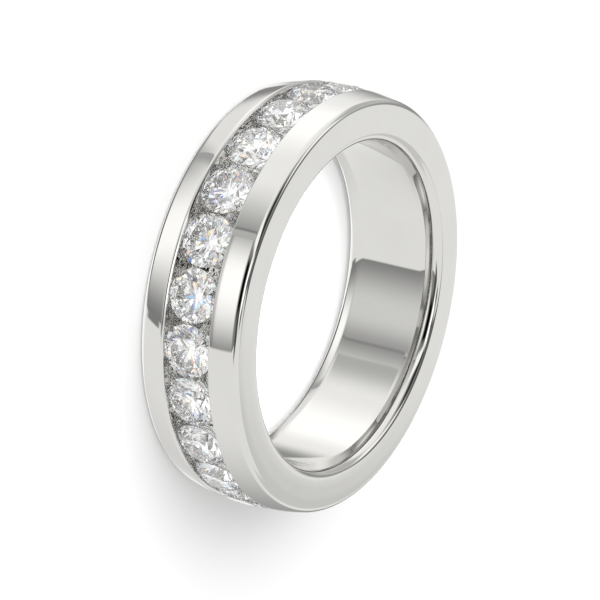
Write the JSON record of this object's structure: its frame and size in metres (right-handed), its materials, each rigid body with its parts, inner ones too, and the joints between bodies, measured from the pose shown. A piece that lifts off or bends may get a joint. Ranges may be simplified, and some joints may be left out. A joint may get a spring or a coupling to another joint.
{
  "type": "channel-set eternity band ring",
  "caption": "Wide polished white-gold ring with a full row of round brilliants held in a channel between two rails.",
  "frame": {"origin": "centre of the lower side face, in the middle of the finger hole, where the ring lies on a surface", "axes": "+Z along the finger hole's axis, -Y towards the side from which the picture was taken"},
  "size_m": [0.0226, 0.0226, 0.0058],
  "materials": {
    "white_gold": "mirror polished",
    "diamond": "polished facets"
  },
  "bodies": {
    "root": {"band": "white_gold", "stone_01": "diamond", "stone_02": "diamond", "stone_03": "diamond", "stone_04": "diamond", "stone_05": "diamond", "stone_06": "diamond", "stone_07": "diamond", "stone_08": "diamond", "stone_09": "diamond", "stone_10": "diamond", "stone_11": "diamond", "stone_12": "diamond", "stone_13": "diamond", "stone_14": "diamond", "stone_15": "diamond", "stone_16": "diamond", "stone_17": "diamond", "stone_18": "diamond", "stone_19": "diamond", "stone_20": "diamond", "stone_21": "diamond", "stone_22": "diamond", "stone_23": "diamond", "stone_24": "diamond"}
  },
  "joints": []
}
